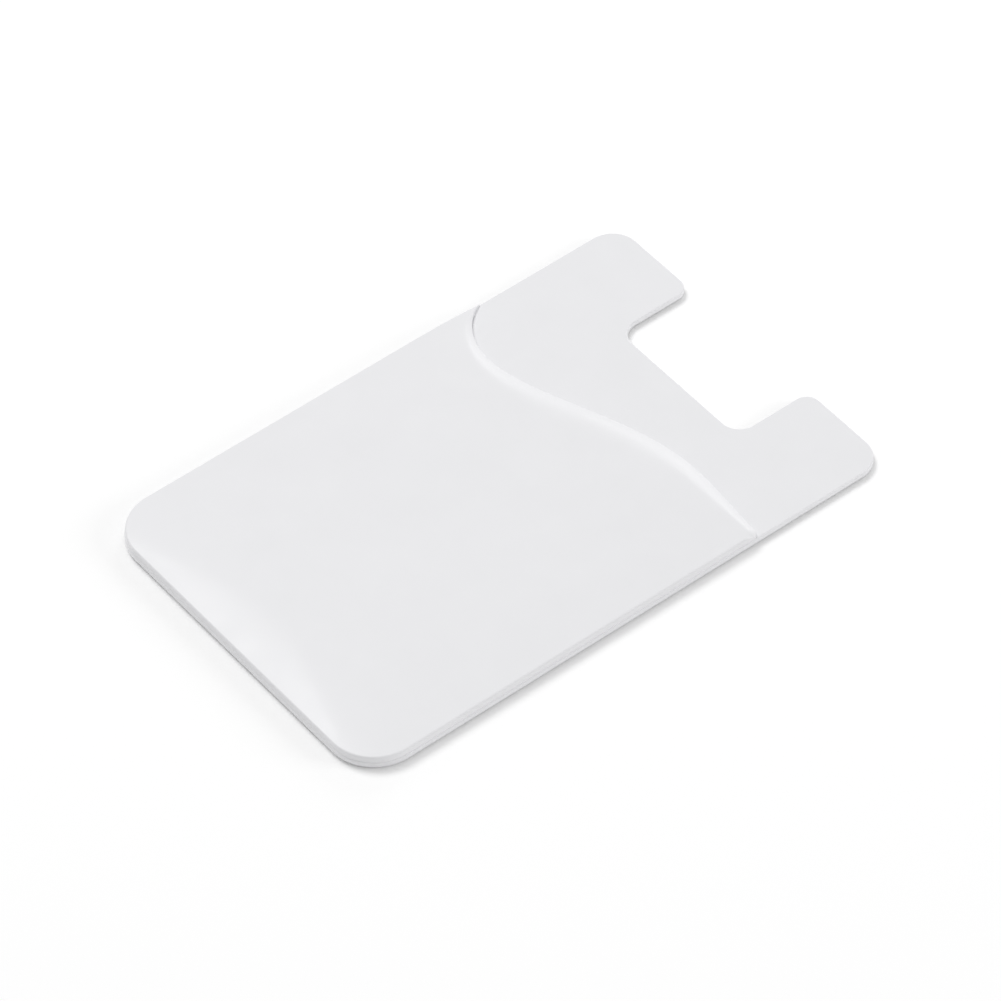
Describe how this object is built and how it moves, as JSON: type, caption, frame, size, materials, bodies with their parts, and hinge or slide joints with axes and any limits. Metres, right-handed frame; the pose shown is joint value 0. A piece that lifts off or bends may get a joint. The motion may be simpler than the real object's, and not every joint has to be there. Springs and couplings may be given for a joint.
{
  "type": "stick-on phone card holder",
  "caption": "Thin silicone card pocket with an S-shaped mouth and a notched tab, with a peel-and-stick back that fixes it to a phone.",
  "frame": {"origin": "centre of the bounding box's underside, where the holder lies on a surface", "axes": "+Y towards the notched tab, +Z out of the pocket's front, +X to the side where the mouth is high"},
  "size_m": [0.057, 0.087, 0.0029],
  "materials": {
    "silicone": "smooth satin moulded silicone",
    "adhesive": "clear-milky double-sided film",
    "release_paper": "smooth coated release paper"
  },
  "bodies": {
    "root": {"silicone_body": "silicone", "adhesive_sheet": "adhesive", "release_liner": "release_paper"}
  },
  "joints": []
}
